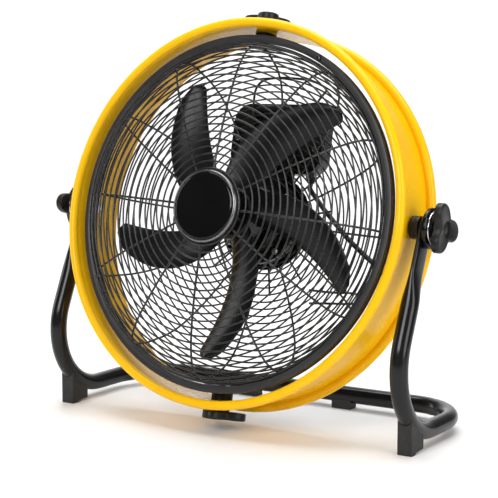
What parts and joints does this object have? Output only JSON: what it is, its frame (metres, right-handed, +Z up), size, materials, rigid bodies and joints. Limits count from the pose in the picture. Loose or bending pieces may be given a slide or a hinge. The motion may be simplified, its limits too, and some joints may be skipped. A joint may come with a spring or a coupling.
{
  "type": "tilting drum air mover",
  "caption": "Floor-standing drum air mover: rolled-edge drum tilting in a bent-tube stand, with a caged fan head that swivels inside the drum.",
  "frame": {"origin": "on the floor at the middle of the footprint, 16.7 mm behind the line of the tilt pivots", "axes": "+X to the right seen from the front, +Y to the back, +Z up; the air leaves towards -Y"},
  "size_m": [0.5734, 0.2553, 0.5294],
  "materials": {
    "black_paint": "gloss",
    "black_plastic": "satin",
    "cable": "matte",
    "charcoal_paint": "satin",
    "chrome": "polished",
    "copper": "satin",
    "dark_steel": "satin",
    "gloss_plastic": "gloss",
    "rubber": "matte",
    "steel": "satin",
    "yellow_paint": "gloss"
  },
  "bodies": {
    "stand": {"stand_tube": "black_paint", "front_foot_left": "rubber", "front_foot_right": "rubber", "rear_foot_left": "rubber", "rear_foot_right": "rubber", "pivot_collar_left": "gloss_plastic", "pivot_collar_right": "gloss_plastic", "pivot_washer_left": "chrome", "pivot_washer_right": "chrome"},
    "drum": {"drum_shell": "yellow_paint", "pivot_bush_left": "black_plastic", "pivot_bush_right": "black_plastic", "pivot_bolt_left": "steel", "pivot_bolt_right": "steel", "swivel_block_top": "black_plastic", "swivel_block_bottom": "black_plastic", "swivel_bolt_top": "steel", "swivel_bolt_bottom": "steel"},
    "cage": {"badge_trim_ring": "chrome", "case_screw_1": "steel", "case_screw_2": "steel", "case_screw_3": "steel", "case_screw_4": "steel", "control_base": "black_plastic", "control_box": "black_plastic", "control_screw_left": "steel", "control_screw_right": "steel", "front_bearing": "steel", "front_guard": "black_paint", "guard_ring": "charcoal_paint", "hub_badge": "gloss_plastic", "lead_clamp": "rubber", "lead_gland": "black_plastic", "motor_end_cover": "black_paint", "motor_housing": "black_paint", "motor_mount_plate": "black_paint", "mount_screw_1": "steel", "mount_screw_2": "steel", "mount_screw_3": "steel", "rear_bearing": "steel", "rear_guard": "black_paint", "ring_clamp_screw": "dark_steel", "run_capacitor": "gloss_plastic", "speed_switch": "black_plastic", "stator": "copper", "supply_lead": "cable", "swivel_bracket_bottom": "black_paint", "swivel_bracket_top": "black_paint"},
    "fan": {"motor_shaft": "steel", "rotor": "dark_steel", "impeller": "black_plastic", "impeller_nut": "black_plastic"},
    "tilt_knob_left": {"tilt_knob_left": "black_plastic"},
    "tilt_knob_right": {"tilt_knob_right": "black_plastic"},
    "swivel_knob_top": {"swivel_knob_top": "black_plastic"},
    "swivel_knob_bottom": {"swivel_knob_bottom": "black_plastic"},
    "speed_knob": {"speed_knob": "black_plastic"}
  },
  "joints": [
    {"name": "drum_tilt", "type": "hinge", "parent": "stand", "child": "drum", "pos_m": [0, -0.0167, 0.2685], "axis": [-1, 0, 0], "range_deg": [-25, 77]},
    {"name": "cage_swivel", "type": "hinge", "parent": "drum", "child": "cage", "pos_m": [0, -0.0167, 0.2685], "axis": [0, 0.2233, 0.9748], "range_deg": [-180, 180]},
    {"name": "fan_spin", "type": "hinge", "parent": "cage", "child": "fan", "pos_m": [0, -0.0167, 0.2685], "axis": [0, -0.9748, 0.2233], "continuous": true},
    {"name": "tilt_knob_right_turn", "type": "hinge", "parent": "drum", "child": "tilt_knob_right", "pos_m": [0, -0.0167, 0.2685], "axis": [1, 0, 0], "range_deg": [0, 540]},
    {"name": "tilt_knob_left_turn", "type": "hinge", "parent": "drum", "child": "tilt_knob_left", "pos_m": [0, -0.0167, 0.2685], "axis": [-1, 0, 0], "range_deg": [0, 540]},
    {"name": "swivel_knob_top_turn", "type": "hinge", "parent": "drum", "child": "swivel_knob_top", "pos_m": [0, -0.0167, 0.2685], "axis": [0, 0.2233, 0.9748], "range_deg": [0, 540]},
    {"name": "swivel_knob_bottom_turn", "type": "hinge", "parent": "drum", "child": "swivel_knob_bottom", "pos_m": [0, -0.0167, 0.2685], "axis": [0, -0.2233, -0.9748], "range_deg": [0, 540]},
    {"name": "speed_knob_turn", "type": "hinge", "parent": "cage", "child": "speed_knob", "pos_m": [-0.004, 0.00842, 0.37816], "axis": [0, 0.9748, -0.2233], "range_deg": [0, 180]}
  ]
}
